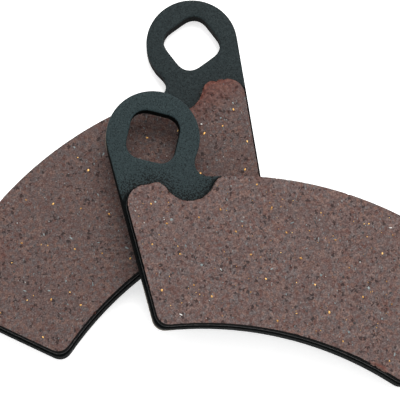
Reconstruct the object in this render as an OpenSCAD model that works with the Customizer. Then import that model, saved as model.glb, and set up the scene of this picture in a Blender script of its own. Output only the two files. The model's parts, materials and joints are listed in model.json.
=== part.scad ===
// Pair of disc brake pads, one lying flat and its mate leaning across it.
// Each pad is a stamped steel backing plate with an ear and a rounded square pin hole
// at either end. A thin bonding underlayer and a friction block sit on it, and the face
// of the block shows brass chips, graphite grains and pale mineral flakes.
// A pad's own frame has its origin midway between the pin holes on the back of the
// plate, +X along the pin line, +Y towards the rim of the disc and +Z out of the face.

/* [Backing plate] */
// Distance between the centres of the two pin holes
pin_spacing = 85.5; // [84:0.1:87]
// Radius of the round ear about each pin hole
ear_radius = 11.6; // [11:0.1:12.2]
// Width of the rounded square pin hole across its flats
pin_hole_width = 12.4; // [9:0.1:13]
// Radius of the pin hole's corners
pin_hole_corner = 3.7; // [1:0.1:4.2]
// Thickness of the steel plate
plate_thickness = 4; // [3:0.1:6]
// Angle of each straight side to the pin line
side_angle = 62.2; // [60:0.1:65]
// Radius of the fillet between an ear and the outer edge
notch_radius = 3.4; // [3:0.1:5]
// Radius of the two inner corners
corner_radius = 3; // [1:0.1:4]
// Radius of the round keying holes that the friction mix fills
keying_radius = 4; // [3:0.1:5]
// Distance between the two keying holes
keying_spacing = 44; // [36:1:50]

/* [Disc edges] */
// Radius of the outer edge, which follows the rim of the disc
outer_radius = 91.9; // [90.6:0.05:93]
// Distance from the pin line to the centre of the outer edge
outer_drop = 94.2; // [93.5:0.1:95]
// Radius of the inner edge
inner_radius = 86.3; // [84:0.1:88]
// Distance from the pin line to the centre of the inner edge
inner_drop = 127; // [125:0.1:128.5]

/* [Friction block] */
// Height of the friction material above the plate, underlayer included
friction_height = 3.6; // [2:0.1:6]
// Thickness of the bonding underlayer
underlayer_thickness = 0.5; // [0.3:0.1:0.8]
// Strip of plate left bare along each straight side
side_margin = 0.6; // [0.3:0.1:1.5]
// Strip of plate left bare along the inner edge
inner_margin = 0.5; // [0.3:0.1:1.5]
// Strip of plate left bare along the outer edge
outer_margin = 0.65; // [0.3:0.05:1.2]
// Radius of the scallop cut below each ear
scallop_radius = 6.6; // [6:0.1:6.8]
// Radius of the block's outer side corners
lobe_radius = 4.6; // [2:0.1:4.8]
// Rise of the block's lobes above its outer edge between the scallops
lobe_rise = 0.4; // [0:0.1:0.6]
// Radius of the tips where each scallop meets the outer edge
tip_radius = 2.7; // [0.8:0.1:3]

/* [Chips and grains] */
// Number of brass chips in each face
brass_count = 36; // [10:1:60]
// Number of graphite grains in each face
graphite_count = 36; // [10:1:60]
// Number of pale mineral flakes in each face
mineral_count = 24; // [10:1:40]
// Depth that a chip or grain goes below the face
chip_depth = 0.4; // [0.2:0.1:0.8]

/* [Resting place] */
// Turn of the lower pad about the vertical
lower_turn = 36.84; // [30:0.01:40]
// Place of the lower pad's middle along X
lower_x = -36.71; // [-37:0.01:-36]
// Place of the lower pad's middle along Y
lower_y = 12.66; // [12:0.01:13]
// Turn of the upper pad about the vertical
upper_turn = -12.66; // [-13:0.01:-12]
// Lean of the upper pad about X
upper_lean_x = 3.36; // [3.3:0.01:3.5]
// Lean of the upper pad about Y
upper_lean_y = 6.39; // [6.3:0.01:6.6]
// Place of the upper pad's middle along X
upper_x = 29.1; // [29:0.01:30]
// Place of the upper pad's middle along Y
upper_y = 1.48; // [1:0.01:1.7]

/* [Hidden] */
$fn = 96;
chip_fn = 24;

coat_color = "#333e40";
underlayer_color = "#2a2a2a";
friction_color = "#705e59";
brass_color = "#b8863b";
graphite_color = "#2e2c2c";
mineral_color = "#a3aba6";

// Amount that a cut runs past the faces it opens
overrun = 1;
// Gap between a keying plug and its hole, and between the upper pad and the table
running_gap = 0.05;
// Depth of a keying plug's end below the back of the plate
plug_recess = 0.3;
// Amount that a corner's round is larger than one that only touches its edges
round_bite = 0.01;
// Reach of the neck below the ear, far enough to sink into the plate's body
neck_reach = 20;
// Reach of the straight sides below the ear, past the inner edge
band_reach = 60;
// Place of the scallop's centre from the ear's centre
scallop_offset = [-10.55, -7.8];
// Distance of the keying holes below the pin line
keying_drop = 24;

// Half length of the zone that chips fill, and their distance from the block's edges
chip_zone = 41;
chip_margin = 1.6;
// Half length of the middle zone, which runs up to the outer edge between the scallops
chip_middle = 23;
// Highest place of a chip below the scallops
chip_shoulder = -16.5;
// Smallest chip radius, and the spread above it
chip_radius = 0.28;
chip_spread = 0.22;
// Steps of the even scatter along and across the face
scatter_x = 0.7548777;
scatter_y = 0.5698403;
family_count = 3;
// Start of each pad's own scatter
lower_phase = 0;
upper_phase = 0.41;

ear_centre = [pin_spacing / 2, 0];
outer_centre = [0, -outer_drop];
inner_centre = [0, -inner_drop];
scallop_centre = ear_centre + scallop_offset;
side_out = [sin(side_angle), -cos(side_angle)];
side_down = [-cos(side_angle), -sin(side_angle)];
face_height = plate_thickness + friction_height;
block_bottom = plate_thickness + underlayer_thickness;

// Radius of the block's outer edge, and of the top of its lobes
block_top = outer_radius - outer_margin;
lobe_top = block_top + lobe_rise;

// Slopes of the upper pad's back, and the height that rests its far ear on the table
slope_x = -cos(upper_lean_x) * sin(upper_lean_y);
slope_y = sin(upper_lean_x);
far_ear = ear_centre[0] * [cos(upper_turn), sin(upper_turn)];
upper_z = ear_radius * norm([slope_x, slope_y]) - far_ear * [slope_x, slope_y] + running_gap;

// Top of the straight side, moved inwards by a margin
function side_top(margin) = ear_centre + (ear_radius - margin) * side_out;

// First point at distance r from c on the way from p along the unit direction d
function reach_circle(p, d, c, r) =
    let (q = p - c, b = q * d)
    p - (b + sqrt(b * b - q * q + r * r)) * d;

// Point at distance ra from a and rb from b, on the right of the way from a to b
function meet_circles(a, ra, b, rb) =
    let (
        gap = norm(b - a),
        u = (b - a) / gap,
        along = (ra * ra - rb * rb + gap * gap) / (2 * gap),
        across = sqrt(ra * ra - along * along)
    )
    a + along * u + across * [u[1], -u[0]];

// Point at distance r from a on the way to b
function towards(a, b, r) = a + (b - a) * r / norm(b - a);

// Fractional part, which turns a steady step into an even scatter
function fraction(x) = x - floor(x);

notch_centre = meet_circles(
    ear_centre, ear_radius + notch_radius,
    outer_centre, outer_radius + notch_radius
);

// Lowest and highest place of a chip at a distance x from the middle
function chip_low(x) =
    let (
        arc = sqrt(pow(inner_radius + inner_margin, 2) - x * x) - inner_drop,
        top = side_top(side_margin),
        side = top[1] - (top[0] - x) * tan(side_angle)
    )
    max(arc + chip_margin, side + 2 * chip_margin);
function chip_high(x) =
    x > chip_middle ? chip_shoulder : sqrt(block_top * block_top - x * x) - outer_drop - chip_margin;

// Place of number i in one scatter that all families share, moved on by the pad's phase
function chip_place(i, phase) =
    let (
        x = chip_zone * (2 * fraction(0.5 + i * scatter_x + phase) - 1),
        y = fraction(0.5 + i * scatter_y + 2 * phase),
        low = chip_low(abs(x)),
        high = max(chip_high(abs(x)), low)
    )
    [x, low + (high - low) * y];
function chip_size(i, phase) = chip_radius + chip_spread * fraction(i * scatter_y * 3 + phase);

module both_ends() {
    children();
    mirror([1, 0, 0]) children();
}

// Waste outside a rounded corner: the round has its centre and two touching points.
// The round is a hair large, so that it crosses both edges instead of grazing them.
module corner_waste(centre, touch_a, touch_b, corner, r) {
    difference() {
        polygon([centre, touch_a, 2 * corner - centre, touch_b]);
        translate(centre) circle(r + round_bite);
    }
}

// Waste outside the corner where a straight side meets the inner edge
module inner_corner_waste(margin, edge_radius) {
    centre = reach_circle(
        side_top(margin + corner_radius), side_down,
        inner_centre, edge_radius + corner_radius
    );
    corner_waste(
        centre,
        centre + corner_radius * side_out,
        towards(centre, inner_centre, corner_radius),
        reach_circle(side_top(margin), side_down, inner_centre, edge_radius),
        corner_radius
    );
}

// Waste outside the corner where the block's straight side meets the top of its lobe
module lobe_waste() {
    centre = reach_circle(
        side_top(side_margin + lobe_radius), side_down,
        outer_centre, lobe_top - lobe_radius
    );
    corner_waste(
        centre,
        centre + lobe_radius * side_out,
        towards(outer_centre, centre, lobe_top),
        reach_circle(side_top(side_margin), side_down, outer_centre, lobe_top),
        lobe_radius
    );
}

// Waste outside the tip where a scallop meets the top of the block's lobe
module lobe_tip_waste() {
    centre = meet_circles(
        outer_centre, lobe_top - tip_radius,
        scallop_centre, scallop_radius + tip_radius
    );
    corner_waste(
        centre,
        towards(outer_centre, centre, lobe_top),
        towards(centre, scallop_centre, tip_radius),
        meet_circles(outer_centre, lobe_top, scallop_centre, scallop_radius),
        tip_radius
    );
}

// Waste outside the tip where a scallop meets the block's outer edge
module middle_tip_waste() {
    centre = meet_circles(
        scallop_centre, scallop_radius + tip_radius,
        outer_centre, block_top - tip_radius
    );
    corner_waste(
        centre,
        towards(centre, scallop_centre, tip_radius),
        towards(outer_centre, centre, block_top),
        meet_circles(scallop_centre, scallop_radius, outer_centre, block_top),
        tip_radius
    );
}

// Band between the inner and outer edges and the straight sides
module band(margin, edge_radius, top_radius) {
    top = side_top(margin);
    low = top + band_reach * side_down;
    difference() {
        intersection() {
            translate(outer_centre) circle(top_radius);
            polygon([
                [notch_centre[0], 0], [-notch_centre[0], 0],
                [-top[0], top[1]], [-low[0], low[1]], low, top
            ]);
        }
        translate(inner_centre) circle(edge_radius);
        both_ends() inner_corner_waste(margin, edge_radius);
    }
}

// Neck that carries an ear, hollowed by the fillet to the outer edge
module neck() {
    top = side_top(0);
    difference() {
        polygon([
            notch_centre, towards(notch_centre, outer_centre, neck_reach),
            top + neck_reach * side_down, top, ear_centre
        ]);
        translate(notch_centre) circle(notch_radius);
    }
}

module pin_hole() {
    reach = pin_hole_width / 2 - pin_hole_corner;
    square([pin_hole_width, 2 * reach], center = true);
    square([2 * reach, pin_hole_width], center = true);
    for (x = [-reach, reach], y = [-reach, reach]) {
        translate([x, y]) circle(pin_hole_corner);
    }
}

module plate_outline() {
    difference() {
        union() {
            band(0, inner_radius, outer_radius);
            both_ends() {
                neck();
                translate(ear_centre) circle(ear_radius);
            }
        }
        both_ends() translate(ear_centre) pin_hole();
    }
}

// Waste between the block's outer edge and the height of its lobes, from scallop to scallop
module middle_waste() {
    reach = scallop_centre[0];
    difference() {
        translate([-reach, scallop_centre[1]]) square([2 * reach, scallop_radius]);
        translate(outer_centre) circle(block_top);
    }
}

module block_outline() {
    difference() {
        band(side_margin, inner_radius + inner_margin, lobe_top);
        middle_waste();
        both_ends() {
            translate(scallop_centre) circle(scallop_radius);
            lobe_waste();
            lobe_tip_waste();
            middle_tip_waste();
        }
    }
}

module keying_rounds(r) {
    both_ends() translate([keying_spacing / 2, -keying_drop]) circle(r);
}

module backing_plate() {
    linear_extrude(plate_thickness) {
        difference() {
            plate_outline();
            keying_rounds(keying_radius);
        }
    }
}

module underlayer() {
    translate([0, 0, plate_thickness]) {
        linear_extrude(underlayer_thickness) {
            difference() {
                block_outline();
                keying_rounds(keying_radius);
            }
        }
    }
}

// Chips or grains of one family, as short rounds sunk flush with the face.
// The families take turns along the scatter, so that no two pieces touch.
module chips(count, family, phase) {
    for (turn = [0 : count - 1]) {
        i = turn * family_count + family;
        spot = chip_place(i, phase);
        translate([spot[0], spot[1], face_height - chip_depth]) {
            cylinder(h = chip_depth, r = chip_size(i, phase), $fn = chip_fn);
        }
    }
}

module brass_chips(phase) {
    chips(brass_count, 1, phase);
}

module graphite_grains(phase) {
    chips(graphite_count, 2, phase);
}

module mineral_flakes(phase) {
    chips(mineral_count, family_count, phase);
}

module friction_block(phase) {
    difference() {
        union() {
            translate([0, 0, block_bottom]) {
                linear_extrude(face_height - block_bottom) block_outline();
            }
            translate([0, 0, plug_recess]) {
                linear_extrude(block_bottom - plug_recess + overrun) {
                    keying_rounds(keying_radius - running_gap);
                }
            }
        }
        brass_chips(phase);
        graphite_grains(phase);
        mineral_flakes(phase);
    }
}

module on_table() {
    translate([lower_x, lower_y, 0]) rotate([0, 0, lower_turn]) children();
}

module on_lower_pad() {
    translate([upper_x, upper_y, upper_z]) {
        rotate([upper_lean_x, 0, 0]) {
            rotate([0, upper_lean_y, 0]) {
                rotate([0, 0, upper_turn]) children();
            }
        }
    }
}

module lower_backing_plate() {
    color(coat_color) on_table() backing_plate();
}

module lower_underlayer() {
    color(underlayer_color) on_table() underlayer();
}

module lower_friction_block() {
    color(friction_color) on_table() friction_block(lower_phase);
}

module lower_brass_chips() {
    color(brass_color) on_table() brass_chips(lower_phase);
}

module lower_graphite_grains() {
    color(graphite_color) on_table() graphite_grains(lower_phase);
}

module lower_mineral_flakes() {
    color(mineral_color) on_table() mineral_flakes(lower_phase);
}

module upper_backing_plate() {
    color(coat_color) on_lower_pad() backing_plate();
}

module upper_underlayer() {
    color(underlayer_color) on_lower_pad() underlayer();
}

module upper_friction_block() {
    color(friction_color) on_lower_pad() friction_block(upper_phase);
}

module upper_brass_chips() {
    color(brass_color) on_lower_pad() brass_chips(upper_phase);
}

module upper_graphite_grains() {
    color(graphite_color) on_lower_pad() graphite_grains(upper_phase);
}

module upper_mineral_flakes() {
    color(mineral_color) on_lower_pad() mineral_flakes(upper_phase);
}

lower_backing_plate();
lower_underlayer();
lower_friction_block();
lower_brass_chips();
lower_graphite_grains();
lower_mineral_flakes();
upper_backing_plate();
upper_underlayer();
upper_friction_block();
upper_brass_chips();
upper_graphite_grains();
upper_mineral_flakes();
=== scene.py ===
"""A pair of disc brake pads in close detail, one flat on the table and its mate leaning across it.

Each pad is worked in its own frame in millimetres: origin midway between its pin holes on the back of
the plate, X along the pin line, Y towards the rim of the disc and Z out of the friction face.
"""
import json
import math

import bmesh
import bpy
import numpy as np
from mathutils import Matrix, Vector, kdtree, noise
from mathutils.geometry import delaunay_2d_cdt


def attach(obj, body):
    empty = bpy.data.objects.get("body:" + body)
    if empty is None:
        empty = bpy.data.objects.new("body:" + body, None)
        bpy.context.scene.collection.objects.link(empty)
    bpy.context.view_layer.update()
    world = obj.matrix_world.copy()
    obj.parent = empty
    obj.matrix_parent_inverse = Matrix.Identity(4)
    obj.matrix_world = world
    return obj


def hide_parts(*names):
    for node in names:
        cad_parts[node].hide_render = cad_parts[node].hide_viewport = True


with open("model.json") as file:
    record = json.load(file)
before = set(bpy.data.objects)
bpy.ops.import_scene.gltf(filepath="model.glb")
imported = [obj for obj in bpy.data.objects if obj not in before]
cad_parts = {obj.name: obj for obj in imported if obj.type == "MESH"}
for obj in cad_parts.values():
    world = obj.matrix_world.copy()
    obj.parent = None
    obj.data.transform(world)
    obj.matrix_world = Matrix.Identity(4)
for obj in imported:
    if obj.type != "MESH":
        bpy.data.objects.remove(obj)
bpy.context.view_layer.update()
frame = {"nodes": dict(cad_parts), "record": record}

MM = 0.001
SIDES = ("lower", "upper")
MOUNTS = {mount["name"]: mount for mount in frame["record"]["mounts"]}

# How finely meshes are cut, and how close two points are taken as one, in millimetres
EDGE_STEP = 0.3
FACE_STEP = 0.4
PLATE_STEP = 0.8
HIDDEN_STEP = 3.0
WELD = 0.002
FLAT = 0.01
SMOOTHING = 8

# Shape of the rims, in millimetres
PLATE_ROUND = 0.3
BLOCK_ROUND = 0.12
LAYER_ROUND = 0.15
SINK = 0.02

# Height of the plate's rounded rim that keeps the look of its face
RIM_SHOWN = 0.25

# How gritty each plate's coat is about the block
GRIT = {"lower": 0.15, "upper": 1.0}
# How deeply each block's lobes are crumbled, how many tears each lobe has, and how red and raw it is
CRUMBLE = {"lower": 1.0, "upper": 0.35}
TEARS = {"lower": 26, "upper": 3}
RAWNESS = {"lower": 0.95, "upper": 0.12}
# How far each bonding layer is squeezed out past its block
SQUEEZE = {"lower": 1.5, "upper": 0.6}

# Brightness of each plate's coat and of each block's compound: the lower pad's coat is darker as
# painted shade, and its compound darker, partly its own tone and partly painted shade
COAT_LIGHT_AND_SHADE = {"lower": 0.62, "upper": 0.98}
COMPOUND_LIGHT_AND_SHADE = {"lower": 0.93, "upper": 1.08}

# How many small flakes and small pits a face shows besides the CAD's chips
SMALL_BRASS = {"lower": 12, "upper": 110}
SMALL_GRAPHITE = 230
SMALL_MINERAL = 120
SMALL_PITS = 420

# Places on a pad, (x, y, reach): corners and an ear's end of a plate whose lower walls turn tan there,
# partly rubbed wear and partly painted highlight, and chipped spots on a block's rim
WORN_AND_HIGHLIT_RIMS = {"lower": [(33.0, -41.0, 9.0)], "upper": [(-33.0, -41.0, 9.0), (-54.4, 1.0, 8.5)]}
CHIPPED = {"lower": [(-18.0, -42.5, 1.2)], "upper": [(22.6, -43.9, 4.0)]}

# How far from a rim its wear reaches, and how far down the block's wall, in millimetres
RIM_REACH = 1.2
WALL_REACH = 1.9

# How near to a wall's outline counts as on the wall, in millimetres
NEAR_WALL = 0.05

# Seed of the lower pad's noise, and the step to the upper pad's
FIRST_SEED = 3
SEED_STEP = 4

# The camera and the studio, in metres, degrees and watts
TABLE_SIZE = 6.0
TABLE_GLOW = 0.47
KEY_SPOT = Vector((0.30, 0.95, 1.45))
KEY_SIZE = 1.2
KEY_POWER = 26.0
KEY_TINT = (1.0, 0.99, 0.98)
SKY_STRENGTH = 0.95
SENSOR_WIDTH = 36.0
CAMERA_ELEVATION = 75.909
CAMERA_DISTANCE = 0.571
CAMERA_AIM = Vector((-0.0004, -0.0018, 0.0))
CAMERA_LENS = 204.3


# ---------------------------------------------------------------- places and outlines

def pad_place(side):
    """Where a pad's own frame sits in the model, as a rigid move in metres."""
    left = MOUNTS[side + "_left_pin_hole"]
    right = MOUNTS[side + "_right_pin_hole"]
    start, end = Vector(left["pos_m"]), Vector(right["pos_m"])
    up = Vector(right["axis"]).normalized()
    along = (end - start).normalized()
    turn = Matrix((along, up.cross(along), up)).transposed().to_4x4()
    origin = (start + end) / 2 - up * right["dims"]["length_mm"] * MM / 2
    return Matrix.Translation(origin) @ turn


def local_mesh(node, place):
    """A copy of a CAD node's mesh in its pad's own frame, in millimetres."""
    mesh = bmesh.new()
    mesh.from_mesh(frame["nodes"][node].data)
    mesh.transform(Matrix.Scale(1 / MM, 4) @ place.inverted())
    bmesh.ops.remove_doubles(mesh, verts=mesh.verts, dist=WELD)
    mesh.faces.index_update()
    return mesh


def top_of(mesh):
    """Height of a mesh's highest point."""
    return max(vert.co.z for vert in mesh.verts)


def face_loops(mesh, height):
    """Rims of a mesh's flat upward face at a height, longest first, material on the left."""
    flat = [
        face for face in mesh.faces
        if face.normal.z > 0.5 and all(abs(vert.co.z - height) < FLAT for vert in face.verts)
    ]
    numbers = {face.index for face in flat}
    following = {}
    for face in flat:
        for corner in face.loops:
            if sum(other.index in numbers for other in corner.edge.link_faces) == 1:
                following[corner.vert] = corner.link_loop_next.vert
    loops = []
    while following:
        vert = next(iter(following))
        loop = []
        while vert in following:
            loop.append(vert.co.xy[:])
            vert = following.pop(vert)
        loops.append(np.array(loop))
    return sorted(loops, key=len_of, reverse=True)


def len_of(loop):
    """Length of a closed loop."""
    return np.linalg.norm(loop - np.roll(loop, 1, axis=0), axis=1).sum()


def resample(loop, step):
    """The loop with points at an even spacing close to step, and its facets smoothed away."""
    closed = np.vstack([loop, loop[:1]])
    along = np.concatenate([[0], np.cumsum(np.linalg.norm(np.diff(closed, axis=0), axis=1))])
    count = max(12, round(along[-1] / step))
    spots = np.arange(count) * along[-1] / count
    even = np.column_stack([np.interp(spots, along, closed[:, axis]) for axis in (0, 1)])
    for _ in range(SMOOTHING):
        even = (np.roll(even, 1, axis=0) + 2 * even + np.roll(even, -1, axis=0)) / 4
    return even


def outward(loop):
    """Unit normals of a loop, pointing out of the material."""
    run = np.roll(loop, -1, axis=0) - np.roll(loop, 1, axis=0)
    run /= np.linalg.norm(run, axis=1)[:, None]
    return np.column_stack([run[:, 1], -run[:, 0]])


def inset(loops, amount):
    """The loops moved into the material."""
    return [loop - amount * outward(loop) for loop in loops]


# ---------------------------------------------------------------- meshes

def inside(points, loops):
    """Which points lie within the loops and outside their holes."""
    found = np.zeros(len(points), bool)
    for loop in loops:
        for a, b in zip(loop, np.roll(loop, -1, axis=0)):
            if a[1] == b[1]:
                continue
            level = (a[1] > points[:, 1]) != (b[1] > points[:, 1])
            crossing = a[0] + (points[:, 1] - a[1]) * (b[0] - a[0]) / (b[1] - a[1])
            found ^= level & (points[:, 0] < crossing)
    return found


def tree_of(points):
    """Search tree of points in the plane of the pad."""
    tree = kdtree.KDTree(len(points))
    for number, point in enumerate(points):
        tree.insert((point[0], point[1], 0), number)
    tree.balance()
    return tree


def nearest(points, rim):
    """Number of the rim's point nearest to each point, seen from above, and the distance to it."""
    tree = tree_of(rim)
    found = [tree.find((x, y, 0)) for x, y, _ in points]
    return np.array([hit[1] for hit in found]), np.array([hit[2] for hit in found])


def fill_points(loops, step, rng):
    """Jittered points on a triangle grid inside the loops, clear of their rims."""
    low, high = loops[0].min(axis=0), loops[0].max(axis=0)
    rows = np.arange(low[1], high[1], step * math.sqrt(0.75))
    grid = np.array([
        (x + (row % 2) * step / 2, y)
        for row, y in enumerate(rows)
        for x in np.arange(low[0], high[0], step)
    ])
    grid += rng.uniform(-0.18 * step, 0.18 * step, grid.shape)
    grid = grid[inside(grid, loops)]
    rim = tree_of(np.vstack(loops))
    clear = [rim.find((x, y, 0))[2] > 0.6 * step for x, y in grid]
    return grid[clear]


def cap(loops, height, step, rng, upward=True):
    """Triangles that fill the loops at a height."""
    points = np.vstack(loops + [fill_points(loops, step, rng)])
    edges = []
    first = 0
    for loop in loops:
        edges += [(first + i, first + (i + 1) % len(loop)) for i in range(len(loop))]
        first += len(loop)
    flat, _, faces, _, _, _ = delaunay_2d_cdt([Vector(p) for p in points], edges, [], 1, WELD / 10)
    flat = np.array([v[:] for v in flat])
    faces = np.array([face[:] for face in faces])
    faces = faces[inside(flat[faces].mean(axis=1), loops)]
    if not upward:
        faces = faces[:, ::-1]
    return np.column_stack([flat, np.full(len(flat), height)]), faces


def wall(rings):
    """Quads between rings of equal count; each ring is (loop, height), from the top down."""
    count = len(rings[0][0])
    verts = np.vstack([np.column_stack([loop, np.full(count, height)]) for loop, height in rings])
    quads = []
    for first in range(0, (len(rings) - 1) * count, count):
        for i in range(count):
            j = (i + 1) % count
            quads.append((first + i, first + count + i, first + count + j, first + j))
    return verts, np.array(quads)


def rounded_profile(top, bottom, top_round, bottom_round, steps=4, middle=5):
    """(inset, height) pairs down a wall that is rounded at its top and bottom."""
    turns = [math.pi / 2 * k / steps for k in range(steps + 1)]
    arc = [(1 - math.sin(turn), 1 - math.cos(turn)) for turn in turns]
    upper = [(top_round * across, top - top_round * down) for across, down in arc]
    lower = [(bottom_round * across, bottom + bottom_round * down) for across, down in arc]
    gap = upper[-1][1] - lower[-1][1]
    straight = [(0, upper[-1][1] - gap * k / middle) for k in range(1, middle)]
    return upper + straight + lower[::-1]


def slab(loops, profile, top_step, bottom_step, rng):
    """Parts of a closed slab: a cap above, a wall down each loop and a cap below."""
    insets = {amount: inset(loops, amount) for amount, _ in profile}
    (top_inset, top), (bottom_inset, bottom) = profile[0], profile[-1]
    parts = [cap(insets[top_inset], top, top_step, rng)]
    parts += [
        wall([(insets[amount][number], height) for amount, height in profile])
        for number in range(len(loops))
    ]
    parts.append(cap(insets[bottom_inset], bottom, bottom_step, rng, upward=False))
    return parts


def gathered(parts):
    """One mesh made of (points, faces) parts."""
    mesh = bmesh.new()
    for points, faces in parts:
        verts = [mesh.verts.new(point) for point in points]
        for face in faces:
            mesh.faces.new([verts[i] for i in face])
    return mesh


def joined(parts):
    """One welded mesh made of (points, faces) parts, with its points as an array."""
    mesh = gathered(parts)
    bmesh.ops.remove_doubles(mesh, verts=mesh.verts, dist=WELD / 2)
    mesh.verts.ensure_lookup_table()
    return mesh, np.array([vert.co[:] for vert in mesh.verts])


def finished(name, side, mesh, points, materials, attributes, replaced, on_wall=None):
    """Makes the mesh a smooth object in its place, with the second material on its walls' faces."""
    for vert, point in zip(mesh.verts, points * MM):
        vert.co = point
    if on_wall is not None:
        mesh.verts.index_update()
        for face in mesh.faces:
            face.material_index = int(all(on_wall[vert.index] for vert in face.verts))
    data = bpy.data.meshes.new(name)
    mesh.to_mesh(data)
    mesh.free()
    data.transform(PLACES[side])
    for key, values in attributes.items():
        data.attributes.new(key, "FLOAT", "POINT").data.foreach_set("value", values.astype(np.float32))
    data.shade_smooth()
    for material in materials:
        data.materials.append(material)
    piece = bpy.data.objects.new(name, data)
    bpy.context.scene.collection.objects.link(piece)
    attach(piece, side + "_pad")
    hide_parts(side + "_" + replaced)


# ---------------------------------------------------------------- noise and weights

def field(points, size, seed, octaves=3):
    """Smooth noise from about -1 to 1 at points, with features of a size in millimetres."""
    shift = Vector((seed * 17.3, seed * -9.1, seed * 5.7))
    return np.array([
        noise.fractal(Vector(p) / size + shift, 0.6, 2.0, octaves, noise_basis="PERLIN_ORIGINAL")
        for p in points
    ])


def ease(value, low, high):
    """0 below low, 1 above high, and a smooth rise between."""
    t = np.clip((value - low) / (high - low), 0, 1)
    return t * t * (3 - 2 * t)


def lobes(points):
    """How far points lie within the block's lobes, from 0 at their foot to 1."""
    return ease(points[:, 1], -21.0, -13.5) * ease(np.abs(points[:, 0]), 25.0, 29.0)


def crumble(points):
    """How crumbly the block's rim is: 1 about its lobes and scallops, 0 along its ground edges."""
    return ease(points[:, 1], -15.5, -13.0) * ease(np.abs(points[:, 0]), 20.5, 23.5)


def spots_near(points, spots, squash=1.0):
    """How near points are to (x, y, reach) spots, from 0 out of reach to 1, with Y squashed."""
    near = np.zeros(len(points))
    for x, y, reach in spots:
        away = np.hypot(points[:, 0] - x, squash * (points[:, 1] - y))
        near = np.maximum(near, ease(reach - away, 0, 0.6 * reach))
    return near


# ---------------------------------------------------------------- materials

class Graph:
    """A material's nodes, with short calls for the ones used here."""

    def __init__(self, name, seed):
        self.material = bpy.data.materials.new(name)
        self.material.use_nodes = True
        self.tree = self.material.node_tree
        self.shader = self.tree.nodes["Principled BSDF"]
        self.spot = self.placed((1 / MM,) * 3, (seed * 31.0, seed * 17.0, seed * 7.0))

    def node(self, kind, **settings):
        """A new node with its settings."""
        made = self.tree.nodes.new(kind)
        for key, value in settings.items():
            setattr(made, key, value)
        return made

    def feed(self, socket, value):
        """Links an output to a socket, or sets the socket's own value."""
        if isinstance(value, bpy.types.NodeSocket):
            self.tree.links.new(value, socket)
        else:
            socket.default_value = value

    def placed(self, scale, shift=(0, 0, 0), turn=0.0):
        """Position on the pad, in the object's own frame, scaled, turned and shifted."""
        coords = self.node("ShaderNodeTexCoord")
        mapping = self.node("ShaderNodeMapping")
        self.feed(mapping.inputs["Vector"], coords.outputs["Object"])
        self.feed(mapping.inputs["Scale"], scale)
        self.feed(mapping.inputs["Location"], shift)
        self.feed(mapping.inputs["Rotation"], (0, 0, turn))
        return mapping.outputs["Vector"]

    def noise(self, scale, detail, spot=None):
        """Soft noise of a scale in features per millimetre."""
        made = self.node("ShaderNodeTexNoise")
        self.feed(made.inputs["Vector"], spot or self.spot)
        self.feed(made.inputs["Scale"], scale)
        self.feed(made.inputs["Detail"], detail)
        return made.outputs["Fac"]

    def cells(self, scale, spot=None):
        """Distance to the nearest cell centre, and two random values of its cell."""
        made = self.node("ShaderNodeTexVoronoi")
        self.feed(made.inputs["Vector"], spot or self.spot)
        self.feed(made.inputs["Scale"], scale)
        parts = self.node("ShaderNodeSeparateColor")
        self.feed(parts.inputs["Color"], made.outputs["Color"])
        return made.outputs["Distance"], parts.outputs["Red"], parts.outputs["Green"]

    def math(self, operation, a, b, clamp=False):
        """One sum on two values or outputs."""
        made = self.node("ShaderNodeMath", operation=operation, use_clamp=clamp)
        self.feed(made.inputs[0], a)
        self.feed(made.inputs[1], b)
        return made.outputs["Value"]

    def span(self, value, low, high, start=0.0, end=1.0):
        """value from low to high mapped smoothly to start to end."""
        made = self.node("ShaderNodeMapRange", interpolation_type="SMOOTHSTEP")
        self.feed(made.inputs["Value"], value)
        for key, number in (("From Min", low), ("From Max", high), ("To Min", start), ("To Max", end)):
            self.feed(made.inputs[key], number)
        return made.outputs["Result"]

    def blend(self, factor, a, b, kind="MIX"):
        """Two colours or outputs mixed by a factor."""
        made = self.node("ShaderNodeMix", data_type="RGBA", blend_type=kind)
        self.feed(made.inputs["Factor"], factor)
        self.feed(made.inputs["A"], a if isinstance(a, bpy.types.NodeSocket) else (*a, 1))
        self.feed(made.inputs["B"], b if isinstance(b, bpy.types.NodeSocket) else (*b, 1))
        return made.outputs["Result"]

    def ramp(self, factor, *stops):
        """Colour from (place, colour) stops."""
        made = self.node("ShaderNodeValToRGB")
        self.feed(made.inputs["Fac"], factor)
        elements = made.color_ramp.elements
        while len(elements) < len(stops):
            elements.new(0.5)
        for element, (place, colour) in zip(elements, stops):
            element.position = place
            element.color = (*colour, 1)
        return made.outputs["Color"]

    def attribute(self, name):
        """A value stored at the mesh's points."""
        return self.node("ShaderNodeAttribute", attribute_name=name).outputs["Fac"]

    def bump(self, height, strength, distance):
        """Bump on the shader, for a distance in millimetres."""
        made = self.node("ShaderNodeBump")
        self.feed(made.inputs["Strength"], strength)
        self.feed(made.inputs["Distance"], distance * MM)
        self.feed(made.inputs["Height"], height)
        self.feed(self.shader.inputs["Normal"], made.outputs["Normal"])

    def finish(self, **inputs):
        """Feeds the shader's sockets, named with spaces as underscores, and returns the material."""
        for key, value in inputs.items():
            self.feed(self.shader.inputs[key.replace("_", " ")], value)
        return self.material


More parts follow.
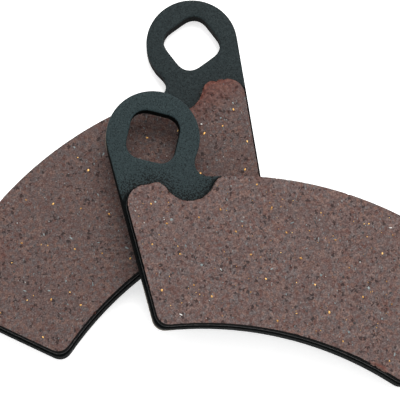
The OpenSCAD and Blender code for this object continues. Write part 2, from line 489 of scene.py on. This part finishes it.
def powder_coat(seed, brightness):
    """Dark teal-grey powder coat, finely pebbled, with blacker dimples where it is gritty."""
    g = Graph("powder_coat_" + str(seed), seed)
    grit = g.attribute("grit")
    soot_and_shade = g.attribute("soot_and_shade")
    pebble = g.noise(2.7, 2.0)
    fine = g.noise(5.5, 1.0)
    broad = g.noise(0.12, 3.0)
    dimple, _, _ = g.cells(2.3)
    hollow = g.math("ADD", dimple, g.math("MULTIPLY", g.math("SUBTRACT", pebble, 0.5), 1.1))
    dark = g.span(g.math("SUBTRACT", hollow, g.math("MULTIPLY", grit, 0.26)), 0.36, 0.16)
    depth = g.math("MULTIPLY", dark, g.math("ADD", 0.62, g.math("MULTIPLY", grit, 0.38)), clamp=True)
    tint = g.ramp(broad, (0.3, (0.0150, 0.0265, 0.0290)), (0.7, (0.0175, 0.0300, 0.0325)))
    light = g.blend(g.span(pebble, 0.45, 0.70), tint, (0.0260, 0.0415, 0.0440))
    speckled = g.blend(g.span(fine, 0.58, 0.36, 0.0, 0.60), light, (0.0040, 0.0085, 0.0095))
    # Per-pad brightness, darker on the lower pad as painted shade
    grainy = g.blend(1.0, speckled, (brightness,) * 3, "MULTIPLY")
    pitted = g.blend(depth, grainy, (0.0008, 0.0022, 0.0024))
    # Soot and painted shade next to the block turn the coat nearly black
    sooty_and_shaded = g.math("MULTIPLY", soot_and_shade, g.span(pebble, 0.75, 0.30, 0.75, 1.0), clamp=True)
    satin = g.span(pebble, 0.3, 0.75, 0.58, 0.46)
    g.bump(g.math("SUBTRACT", pebble, g.math("MULTIPLY", dark, 0.8)), 0.4, 0.06)
    return g.finish(
        Base_Color=g.blend(sooty_and_shaded, pitted, (0.0012, 0.0016, 0.0016)),
        Roughness=g.math("MAXIMUM", satin, g.math("MULTIPLY", soot_and_shade, 0.95)),
        Specular_IOR_Level=0.11,
    )


def shaded_wall_coat(seed):
    """The same coat on the stamped walls, a copy painted almost black as shade, turned tan in places by
    rubbed wear and a painted highlight.
    """
    g = Graph("shaded_wall_coat_" + str(seed), seed)
    worn_and_highlit = g.attribute("worn_and_highlit")
    pebble = g.noise(2.2, 3.0)
    # Near black: the face's coat darkened here as painted shade
    black = g.ramp(pebble, (0.3, (0.0008, 0.0012, 0.0012)), (0.7, (0.0034, 0.0046, 0.0046)))
    # Tan low on the walls near the given places: partly rubbed coat, partly painted highlight
    rubbed_and_highlit = g.math("MULTIPLY", worn_and_highlit, g.span(pebble, 0.36, 0.50), clamp=True)
    g.bump(pebble, 0.4, 0.06)
    return g.finish(
        Base_Color=g.blend(rubbed_and_highlit, black, (0.300, 0.255, 0.205)),
        Roughness=g.span(pebble, 0.3, 0.7, 0.85, 0.70),
        Specular_IOR_Level=0.04,
    )


def friction_compound(seed, brightness):
    """Ground brown compound of red-brown and mauve-grey grains, with black specks, pale fibres and
    painted shade in its deep pits.
    """
    g = Graph("friction_compound_" + str(seed), seed)
    raw = g.attribute("raw")
    pit_shade = g.attribute("pit_shade")
    grain = g.noise(1.05, 3.0)
    fine = g.noise(2.8, 2.0)
    broad = g.noise(0.10, 3.0)
    _, pick, _ = g.cells(1.35)
    base = g.ramp(
        grain,
        (0.28, (0.048, 0.022, 0.019)), (0.43, (0.116, 0.061, 0.050)),
        (0.56, (0.116, 0.086, 0.082)), (0.72, (0.190, 0.136, 0.122)),
    )
    grains = g.ramp(
        pick,
        (0.00, (0.094, 0.038, 0.030)), (0.30, (0.116, 0.080, 0.075)),
        (0.60, (0.080, 0.086, 0.090)), (0.90, (0.190, 0.114, 0.092)),
    )
    mixed = g.blend(0.48, base, grains)
    mixed = g.blend(g.span(broad, 0.35, 0.7, 0.0, 0.30), mixed, (0.100, 0.070, 0.066))
    mixed = g.blend(g.span(fine, 0.60, 0.38, 0.0, 0.50), mixed, (0.034, 0.021, 0.019))
    mixed = g.blend(g.span(fine, 0.60, 0.72, 0.0, 0.40), mixed, (0.210, 0.165, 0.150))
    speck, chance, size = g.cells(0.95)
    mottle = g.math("MULTIPLY", g.math("ADD", grain, fine), 0.5)
    wobble = g.math("MULTIPLY", g.math("SUBTRACT", mottle, 0.5), 2.2)
    reach = g.math("MULTIPLY", g.math("ADD", size, 0.3), 0.34)
    spot = g.span(g.math("SUBTRACT", g.math("ADD", speck, wobble), reach), 0.07, -0.05)
    black = g.math("MULTIPLY", spot, g.span(chance, 0.45, 0.75))
    mixed = g.blend(g.math("MULTIPLY", black, 0.72), mixed, (0.018, 0.014, 0.014))
    for turn, scale in ((0.4, 1.1), (1.9, 1.25)):
        stretched = g.placed((1 / MM, 0.45 / MM, 1 / MM), (seed * 13.0 + turn, turn * 9, 0), turn)
        fibre, chance, _ = g.cells(scale, stretched)
        pale = g.math("MULTIPLY", g.span(fibre, 0.20, 0.09), g.span(chance, 0.74, 0.84))
        mixed = g.blend(g.math("MULTIPLY", pale, 0.55), mixed, (0.180, 0.210, 0.212))
    red = g.blend(g.span(grain, 0.35, 0.65), (0.080, 0.020, 0.014), (0.175, 0.062, 0.044))
    mixed = g.blend(g.math("MULTIPLY", raw, g.span(fine, 0.3, 0.6, 0.35, 0.95)), mixed, red)
    height = g.math("ADD", grain, g.math("MULTIPLY", fine, 0.6))
    g.bump(g.math("SUBTRACT", height, g.math("MULTIPLY", black, 0.6)), 0.5, 0.06)
    # Per-pad brightness, darker on the lower pad partly as painted shade
    lit = g.blend(1.0, mixed, (brightness,) * 3, "MULTIPLY")
    # Deep pits are darkened as painted shade
    return g.finish(
        Base_Color=g.blend(g.math("MULTIPLY", pit_shade, 0.9), lit, (0.014, 0.009, 0.008)),
        Roughness=g.span(fine, 0.3, 0.7, 0.92, 0.75),
        Specular_IOR_Level=0.12,
    )


def block_wall(seed, redness):
    """Black overspray on the block's walls, crumbled through to raw red-brown compound at the lobes."""
    g = Graph("block_wall_" + str(seed), seed)
    bare = g.attribute("bare")
    grain = g.noise(1.6, 3.0)
    fine = g.noise(3.4, 2.0)
    brown = g.blend(g.span(grain, 0.35, 0.65), (0.075, 0.045, 0.038), (0.150, 0.098, 0.084))
    raw = g.blend(g.span(grain, 0.35, 0.65), (0.070, 0.020, 0.014), (0.160, 0.058, 0.042))
    exposed = g.blend(redness, brown, raw)
    ragged = g.math("ADD", bare, g.math("MULTIPLY", g.math("SUBTRACT", grain, 0.5), 1.4))
    black = g.ramp(fine, (0.3, (0.0006, 0.0007, 0.0007)), (0.7, (0.0028, 0.0031, 0.0031)))
    g.bump(g.math("ADD", grain, fine), 0.6, 0.08)
    return g.finish(
        Base_Color=g.blend(g.span(ragged, 0.42, 0.58), black, exposed),
        Roughness=g.span(fine, 0.3, 0.7, 0.95, 0.80),
        Specular_IOR_Level=0.02,
    )


def bonding_layer(seed):
    """Matt black bonding compound, squeezed out and slightly grainy."""
    g = Graph("underlayer_" + str(seed), seed)
    grain = g.noise(2.2, 3.0)
    g.bump(grain, 0.6, 0.08)
    return g.finish(
        Base_Color=g.ramp(grain, (0.3, (0.004, 0.004, 0.004)), (0.7, (0.016, 0.017, 0.017))),
        Roughness=g.span(grain, 0.3, 0.7, 0.9, 0.65),
    )


def brass(seed):
    """Ground brass, from dull orange to bright gold from chip to chip."""
    g = Graph("brass_" + str(seed), seed)
    tone = g.attribute("tone")
    grind = g.noise(6.0, 2.0, g.placed((1 / MM, 0.2 / MM, 1 / MM), turn=0.6))
    g.bump(grind, 0.4, 0.02)
    return g.finish(
        Base_Color=g.ramp(
            tone,
            (0.0, (0.22, 0.10, 0.03)), (0.6, (0.50, 0.27, 0.08)), (1.0, (0.75, 0.46, 0.17)),
        ),
        Roughness=g.span(grind, 0.3, 0.7, 0.45, 0.3),
        Metallic=0.7,
    )


def graphite(seed):
    """Dark satin grains, black to dark grey."""
    g = Graph("graphite_" + str(seed), seed)
    tone = g.attribute("tone")
    grain = g.noise(4.0, 2.0)
    g.bump(grain, 0.5, 0.03)
    return g.finish(
        Base_Color=g.ramp(tone, (0.0, (0.006, 0.006, 0.006)), (1.0, (0.032, 0.027, 0.026))),
        Roughness=g.span(grain, 0.3, 0.7, 0.7, 0.5),
    )


def mineral(seed):
    """Pale flakes and fibre ends, from blue-grey to white."""
    g = Graph("mineral_" + str(seed), seed)
    tone = g.attribute("tone")
    grain = g.noise(5.0, 2.0)
    g.bump(grain, 0.4, 0.02)
    return g.finish(
        Base_Color=g.ramp(
            tone,
            (0.0, (0.10, 0.13, 0.135)), (0.75, (0.20, 0.23, 0.23)), (1.0, (0.62, 0.61, 0.58)),
        ),
        Roughness=g.span(grain, 0.3, 0.7, 0.7, 0.5),
    )


# ---------------------------------------------------------------- pieces of a pad

def backing_plate(side, seed):
    """Stamped plate with rounded rims and a slightly uneven coat."""
    place = PLACES[side]
    rng = np.random.RandomState(seed)
    cad = local_mesh(side + "_backing_plate", place)
    top = top_of(cad)
    loops = [resample(loop, EDGE_STEP) for loop in face_loops(cad, top)]
    profile = rounded_profile(top, 0, PLATE_ROUND, 0.7 * PLATE_ROUND)
    mesh, points = joined(slab(loops, profile, PLATE_STEP, PLATE_STEP, rng))
    normals = np.vstack([outward(loop) for loop in loops])
    near, gap = nearest(points, np.vstack(loops))
    _, to_block = nearest(points, OUTLINES[side])
    height = points[:, 2]
    on_wall = (gap < 1e-3 + PLATE_ROUND) & (height > FLAT) & (height < top - FLAT)
    # The coat is uneven by a few hundredths of a millimetre
    swell = 0.02 * field(points, 1.6, seed)
    moved = points.copy()
    moved[:, :2] -= normals[near] * (on_wall * np.abs(swell))[:, None]
    moved[:, 2] += np.where(height > top - FLAT, -np.abs(swell), 0)
    # Soot and painted shade darken the coat next to the block, and below the ears they fill the strip
    # that the block leaves bare
    inner = ease(-14.0 - points[:, 1], 0, 3.0)
    attributes = {
        "grit": GRIT[side] * ease(5.5 - to_block, 0, 5.0),
        "soot_and_shade": np.clip(ease(1.1 - to_block, 0, 0.8) + inner * ease(1.4 - to_block, 0, 0.5), 0, 1),
        # Partly rubbed wear, partly painted highlight, low on the walls
        "worn_and_highlit": spots_near(points, WORN_AND_HIGHLIT_RIMS[side]) * ease(1.8 - height, 0, 0.8),
    }
    # Below the ears the whole rounded rim takes the shaded wall coat, painting out its highlight
    walls = (height < top - RIM_SHOWN * (1 - inner)) & (height > FLAT)
    finished(
        side + "_stamped_plate", side, mesh, moved, (powder_coat(seed, COAT_LIGHT_AND_SHADE[side]), shaded_wall_coat(seed)),
        attributes, "backing_plate", walls,
    )


def friction_block(side, seed):
    """Ground face with pits and grain, crumbly lobes, painted walls, and plugs in the keying holes."""
    place = PLACES[side]
    rng = np.random.RandomState(seed + 100)
    cad = local_mesh(side + "_friction_block", place)
    top = top_of(cad)
    layer = local_mesh(side + "_underlayer", place)
    bottom = top_of(layer)
    plugs = [resample(loop, EDGE_STEP) for loop in face_loops(layer, bottom)[1:]]
    plug_end = min(vert.co.z for vert in cad.verts)
    outline = OUTLINES[side]
    profile = rounded_profile(top, bottom, BLOCK_ROUND, 0.02, steps=2, middle=7)
    insets = {amount: outline - amount * outward(outline) for amount, _ in profile}
    plug_profile = rounded_profile(bottom, plug_end, 0.01, 0.3, steps=3, middle=2)
    holes = [loop + 0.05 * outward(loop) for loop in plugs]
    parts = [
        cap([insets[profile[0][0]]], top, FACE_STEP, rng),
        wall([(insets[amount], height) for amount, height in profile]),
        cap([insets[profile[-1][0]]] + holes, bottom, HIDDEN_STEP, rng, upward=False),
    ]
    for hole in holes:
        solid = hole[::-1]
        rings = [(solid, bottom)]
        rings += [(solid - amount * outward(solid), height) for amount, height in plug_profile[1:]]
        parts.append(wall(rings))
        parts.append(cap([rings[-1][0]], plug_end, PLATE_STEP, rng, upward=False))
    mesh, points = joined(parts)
    normals = outward(outline)
    near, gap = nearest(points, outline)
    height = points[:, 2]
    loose = crumble(points)
    on_face = height > top - FLAT
    above = height > bottom + FLAT
    on_wall = (gap < BLOCK_ROUND + NEAR_WALL) & above
    near_rim = ease(RIM_REACH - gap, 0, RIM_REACH) * above
    chipped = spots_near(points, CHIPPED[side], squash=2.2) * (height > top - 1.8)
    ragged = np.maximum(loose, chipped)
    # Ragged rims have fine bites and broad hollows, and ground ones only shallow nicks
    bite = np.maximum(field(points, 0.55, seed + 1), 0) * 0.42
    bite += np.maximum(field(points, 2.6, seed + 2), 0) * 0.9 * CRUMBLE[side]
    nick = np.maximum(field(points, 1.1, seed + 3) - 0.25, 0) * 0.16
    inward = near_rim * (ragged * bite + (1 - ragged) * nick * on_wall)
    # The face falls away at ragged rims, and is rougher on raw lobes
    dip = 0.10 + 0.5 * np.maximum(field(points, 0.7, seed + 4), 0)
    sunk = near_rim * ragged * dip * (height > top - 0.5)
    lobe = lobes(points) * RAWNESS[side]
    grain = (0.030 + 0.10 * lobe) * (field(points, 0.8, seed + 5, 4) - 0.5)
    # How deep each pit is, and how darkly its hollow is painted as shade
    pits, deep = pit_depth(points, TEARS[side], rng)
    moved = points.copy()
    moved[:, :2] -= normals[near] * inward[:, None]
    moved[:, 2] += np.where(on_face, grain - pits, 0) - sunk
    rim_red = RAWNESS[side] * loose * ease(1.6 - gap, 0, 1.6)
    attributes = {
        "raw": np.clip(np.maximum(0.62 * lobe + 0.5 * rim_red, chipped), 0, 1),
        "pit_shade": deep * on_face,
        "bare": np.clip(np.maximum(0.62 * loose * (height > top - WALL_REACH), chipped), 0, 1),
    }
    materials = (friction_compound(seed, COMPOUND_LIGHT_AND_SHADE[side]), block_wall(seed, RAWNESS[side]))
    finished(
        side + "_ground_block", side, mesh, moved, materials, attributes,
        "friction_block", on_wall & (height < top - FLAT),
    )


def pit_depth(points, tears, rng):
    """Depth of small pits in the face, and how much painted shade darkens each, with chains of deep
    ones by the lobes.
    """
    low, high = points[:, :2].min(axis=0), points[:, :2].max(axis=0)
    pits = [
        (*rng.uniform(low, high), rng.uniform(0.25, 0.6), rng.uniform(0.04, 0.16))
        for _ in range(SMALL_PITS)
    ]
    for lobe in (-1, 1):
        for _ in range(tears):
            spot = np.array([lobe * rng.uniform(29, 40), rng.uniform(-22, -9)])
            heading = rng.uniform(0, 2 * math.pi)
            for _ in range(rng.randint(3, 8)):
                pits.append((*spot, rng.uniform(0.25, 0.45), rng.uniform(0.2, 0.35)))
                heading += rng.uniform(-0.7, 0.7)
                spot = spot + 0.4 * np.array([math.cos(heading), math.sin(heading)])
    depth = np.zeros(len(points))
    for x, y, radius, deep in pits:
        away = np.hypot(points[:, 0] - x, points[:, 1] - y)
        depth = np.maximum(depth, deep * ease(radius - away, 0, radius))
    return depth, ease(depth, 0.12, 0.28)


def underlayer(side, seed):
    """Bonding layer, squeezed out in places past the foot of the block."""
    place = PLACES[side]
    rng = np.random.RandomState(seed + 200)
    cad = local_mesh(side + "_underlayer", place)
    top = top_of(cad)
    bottom = min(vert.co.z for vert in cad.verts)
    loops = [resample(loop, EDGE_STEP) for loop in face_loops(cad, top)]
    profile = rounded_profile(top, bottom - SINK, LAYER_ROUND, 0.02, steps=3, middle=3)
    mesh, points = joined(slab(loops, profile, HIDDEN_STEP, HIDDEN_STEP, rng))
    normals = outward(loops[0])
    near, gap = nearest(points, loops[0])
    loose = crumble(points)
    foot = ease(top - points[:, 2], 0, top - bottom)
    spread = np.maximum(field(points, 1.6, seed + 6) + 0.2, 0) * SQUEEZE[side] * loose + 0.1
    moved = points.copy()
    moved[:, :2] += normals[near] * (spread * foot * (gap < LAYER_ROUND + NEAR_WALL))[:, None]
    finished(
        side + "_bonding_layer", side, mesh, moved, (bonding_layer(seed),), {},
        "underlayer",
    )


def flake(rng, centre, radius, stretch, turn, proud):
    """Points and faces of an irregular chip that stands slightly proud of the face."""
    sides = rng.randint(6, 10)
    uneven = np.sort(rng.uniform(0, 2 * math.pi, sides))
    turns = uneven * 0.4 + np.arange(sides) * 2 * math.pi / sides * 0.6
    reach = radius * rng.uniform(0.65, 1.1, sides)
    rim = np.column_stack([reach * np.cos(turns) * stretch, reach * np.sin(turns) / stretch])
    rim = rim @ np.array([[math.cos(turn), math.sin(turn)], [-math.sin(turn), math.cos(turn)]])
    rings = [(0.55, proud + 0.02), (1.0, proud), (1.05, proud - 0.05), (0.7, proud - 0.25)]
    x, y, top = centre
    points = np.vstack([
        np.column_stack([x + k * rim[:, 0], y + k * rim[:, 1], np.full(sides, top + z)])
        for k, z in rings
    ])
    faces = [tuple(range(sides))]
    for k in range(len(rings) - 1):
        for i in range(sides):
            j = (i + 1) % sides
            faces.append((k * sides + i, (k + 1) * sides + i, (k + 1) * sides + j, k * sides + j))
    last = (len(rings) - 1) * sides
    faces.append(tuple(last + i for i in reversed(range(sides))))
    return points, faces


def cad_chips(node, place):
    """Centre and radius of every chip in a CAD node, in the pad's own frame."""
    cad = local_mesh(node, place)
    left = set(cad.verts)
    chips = []
    while left:
        island, border = set(), {next(iter(left))}
        while border:
            island |= border
            border = {edge.other_vert(vert) for vert in border for edge in vert.link_edges} - island
        left -= island
        spots = np.array([vert.co[:] for vert in island])
        low, high = spots.min(axis=0), spots.max(axis=0)
        chips.append((*(low + high)[:2] / 2, high[2], (high - low)[0] / 2))
    return sorted(chips)


def chips(side, family, extra, sizes, stretches, tones, proud, material, seed):
    """Flakes at the CAD's places, with smaller ones scattered between them."""
    rng = np.random.RandomState(seed + 300)
    outline = inset([OUTLINES[side]], 0.7)
    known = cad_chips(side + "_" + family, PLACES[side])
    top = known[0][2]
    low, high = outline[0].min(axis=0), outline[0].max(axis=0)
    spots = rng.uniform(low, high, (3 * extra, 2))
    spots = spots[inside(spots, outline)][:extra]
    wanted = [(x, y, 0.75 * radius) for x, y, _, radius in known]
    wanted += [(x, y, rng.uniform(*sizes) * rng.uniform(0.6, 1)) for x, y in spots]
    parts, shades = [], []
    for x, y, radius in wanted:
        stretch = rng.uniform(*stretches)
        points, faces = flake(rng, (x, y, top), radius, stretch, rng.uniform(0, math.pi), proud)
        parts.append((points, faces))
        shades.append(np.full(len(points), rng.uniform(*tones)))
    mesh = gathered(parts)
    mesh.verts.ensure_lookup_table()
    kind = family.split("_")[0]
    finished(
        side + "_" + kind + "_flakes", side, mesh, np.vstack([points for points, _ in parts]),
        (material,), {"tone": np.concatenate(shades)}, family,
    )


# ---------------------------------------------------------------- studio

def studio():
    """Softly glowing white table, a softbox above and behind the pads, a white sky and the camera."""
    bpy.ops.mesh.primitive_plane_add(size=TABLE_SIZE, location=(0, 0, 0))
    floor = bpy.context.object
    floor.name = "table"
    g = Graph("table", 0)
    shade = g.noise(0.004, 2.0)
    floor.data.materials.append(g.finish(
        Base_Color=g.ramp(shade, (0.3, (0.90, 0.90, 0.90)), (0.7, (0.93, 0.93, 0.93))),
        Roughness=0.9,
        Specular_IOR_Level=0.1,
        Emission_Color=(1.0, 1.0, 1.0, 1),
        Emission_Strength=TABLE_GLOW,
    ))
    lamp = bpy.data.lights.new("key", "AREA")
    lamp.shape = "DISK"
    lamp.size = KEY_SIZE
    lamp.energy = KEY_POWER
    lamp.color = KEY_TINT
    key = bpy.data.objects.new("key", lamp)
    bpy.context.scene.collection.objects.link(key)
    aim(key, KEY_SPOT, -KEY_SPOT)
    world = bpy.data.worlds.new("studio")
    world.use_nodes = True
    sky = world.node_tree.nodes["Background"]
    sky.inputs["Color"].default_value = (1.0, 1.0, 1.0, 1)
    sky.inputs["Strength"].default_value = SKY_STRENGTH
    bpy.context.scene.world = world
    bpy.context.scene.view_settings.view_transform = "Standard"
    camera = bpy.data.objects.new("camera", bpy.data.cameras.new("camera"))
    bpy.context.scene.collection.objects.link(camera)
    rise = math.radians(CAMERA_ELEVATION)
    away = Vector((0, -math.cos(rise), math.sin(rise))) * CAMERA_DISTANCE
    aim(camera, CAMERA_AIM + away, -away)
    camera.data.lens = CAMERA_LENS
    camera.data.sensor_width = SENSOR_WIDTH
    bpy.context.scene.camera = camera


def aim(thing, spot, along):
    """Puts a light or the camera at a spot, looking along a direction."""
    thing.location = spot
    thing.rotation_euler = along.to_track_quat("-Z", "Y").to_euler()


# ---------------------------------------------------------------- build

PLACES = {side: pad_place(side) for side in SIDES}
OUTLINES = {}
for side in SIDES:
    layer = local_mesh(side + "_underlayer", PLACES[side])
    OUTLINES[side] = resample(face_loops(layer, top_of(layer))[0], EDGE_STEP)

for number, side in enumerate(SIDES):
    seed = FIRST_SEED + SEED_STEP * number
    backing_plate(side, seed)
    underlayer(side, seed)
    friction_block(side, seed)
    chips(
        side, "brass_chips", SMALL_BRASS[side], (0.10, 0.22), (1.0, 1.3), (0.1, 1.0), 0.03,
        brass(seed), seed,
    )
    chips(
        side, "graphite_grains", SMALL_GRAPHITE, (0.10, 0.28), (1.0, 1.5), (0.0, 1.0), 0.01,
        graphite(seed), seed + 1,
    )
    chips(
        side, "mineral_flakes", SMALL_MINERAL, (0.10, 0.22), (1.0, 1.8), (0.0, 1.0), 0.02,
        mineral(seed), seed + 2,
    )

studio()
